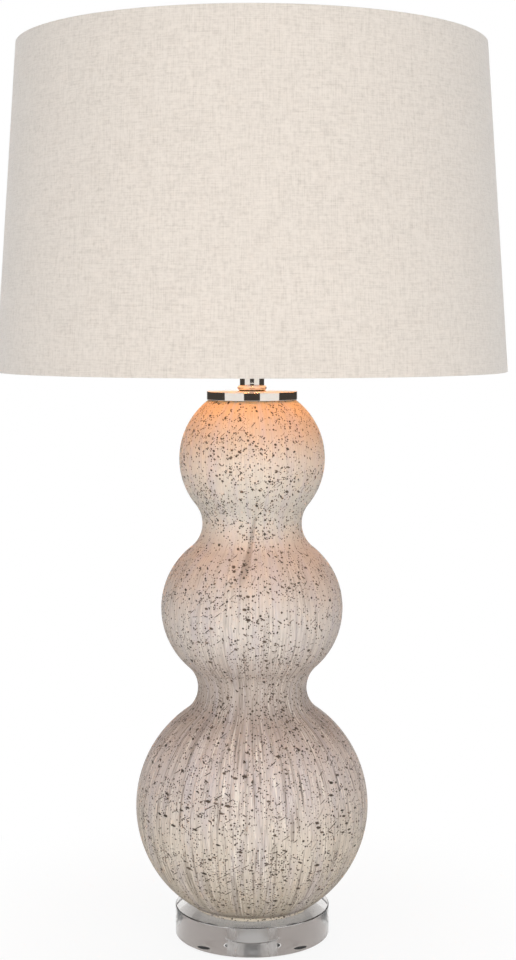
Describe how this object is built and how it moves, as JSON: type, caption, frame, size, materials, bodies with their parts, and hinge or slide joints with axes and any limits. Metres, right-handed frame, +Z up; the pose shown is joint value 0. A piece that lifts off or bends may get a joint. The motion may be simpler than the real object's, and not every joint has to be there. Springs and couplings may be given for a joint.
{
  "type": "table lamp",
  "caption": "Table lamp with a gourd-shaped blown-glass body, clear acrylic base, polished neck, socket, harp and tapered linen drum shade.",
  "frame": {"origin": "centre of the bounding box in plan, on the plane that the feet stand on", "axes": "+Z up along the lamp's axis, -Y towards the front where the switch knob points, +Y to the rear where the cord leaves"},
  "size_m": [0.4571, 0.4572, 0.8295],
  "materials": {
    "clear_rubber": "clear soft pad",
    "clear_acrylic": "clear, flame-polished edges",
    "clear_plastic": "clear moulded",
    "zinc_steel": "zinc plated",
    "black_rubber": "matt",
    "speckled_glass": "milky glass with vertical streaks and dark specks",
    "polished_nickel": "polished",
    "harp_nickel": "bright plated",
    "socket_nickel": "satin plated",
    "cardboard": "grey-brown fibre",
    "phenolic": "moulded",
    "brass": "plain",
    "thread_aluminium": "rolled",
    "black_plastic": "moulded",
    "solder": "solder",
    "insulator": "fused black glass",
    "frosted_glass": "frosted, lit warm",
    "clear_glass": "clear",
    "filament": "glowing wire",
    "linen": "oatmeal linen with slubs",
    "lining": "white styrene",
    "white_wire": "white coated wire"
  },
  "bodies": {
    "stand": {"bumper_feet": "clear_rubber", "acrylic_base": "clear_acrylic", "cord_bushing": "clear_plastic", "threaded_rod": "zinc_steel", "base_nut": "zinc_steel", "base_lock_washer": "zinc_steel", "base_washer": "zinc_steel", "base_gasket": "black_rubber", "glass_body": "speckled_glass", "cap_gasket": "black_rubber", "vase_cap": "polished_nickel", "neck_ring": "polished_nickel", "neck_tube": "polished_nickel", "neck_top_ring": "polished_nickel", "harp_saddle": "harp_nickel", "harp_wire": "harp_nickel", "harp_stud": "harp_nickel", "socket_cap": "socket_nickel", "socket_set_screw": "zinc_steel", "socket_shell": "socket_nickel", "socket_liner": "cardboard", "socket_body": "phenolic", "terminal_screws": "brass", "socket_thread_shell": "thread_aluminium", "socket_contact": "brass"},
    "switch": {"switch_shaft": "zinc_steel", "switch_knob": "black_plastic"},
    "bulb_end": {"bulb_contact": "solder", "bulb_insulator": "insulator"},
    "bulb": {"bulb_cap": "thread_aluminium", "bulb_glass": "frosted_glass", "bulb_stem": "clear_glass", "bulb_filament": "filament"},
    "sleeve_left": {"harp_sleeve_left": "harp_nickel"},
    "sleeve_right": {"harp_sleeve_right": "harp_nickel"},
    "shade": {"shade_fabric": "linen", "shade_lining": "lining", "shade_bottom_ring": "white_wire", "shade_top_ring": "white_wire", "shade_arms": "white_wire", "fitter_washer": "white_wire"},
    "finial_end": {"finial_base": "polished_nickel"},
    "finial": {"finial_knob": "polished_nickel"}
  },
  "joints": [
    {"name": "knob_turn", "type": "hinge", "parent": "stand", "child": "switch", "pos_m": [0, -0.03, 0.5827], "axis": [0, -1, 0], "continuous": true},
    {"name": "bulb_rise", "type": "slide", "parent": "stand", "child": "bulb_end", "axis": [0, 0, 1], "range_m": [0, 0.0182]},
    {"name": "bulb_turn", "type": "hinge", "parent": "bulb_end", "child": "bulb", "pos_m": [0, 0, 0.65], "axis": [0, 0, 1], "range_deg": [0, 1800]},
    {"name": "sleeve_left_slide", "type": "slide", "parent": "stand", "child": "sleeve_left", "axis": [0, 0, 1], "range_m": [0, 0.01]},
    {"name": "sleeve_right_slide", "type": "slide", "parent": "stand", "child": "sleeve_right", "axis": [0, 0, 1], "range_m": [0, 0.01]},
    {"name": "shade_turn", "type": "hinge", "parent": "stand", "child": "shade", "pos_m": [0, 0, 0.7937], "axis": [0, 0, 1], "continuous": true},
    {"name": "finial_rise", "type": "slide", "parent": "stand", "child": "finial_end", "axis": [0, 0, 1], "range_m": [0, 0.0095]},
    {"name": "finial_turn", "type": "hinge", "parent": "finial_end", "child": "finial", "pos_m": [0, 0, 0.8133], "axis": [0, 0, 1], "range_deg": [0, 3600]}
  ],
  "couplings": [
    {"joint": "bulb_rise", "follows": "bulb_turn", "m_per_rad": 0.0005777},
    {"joint": "finial_rise", "follows": "finial_turn", "m_per_rad": 0.0001498}
  ]
}
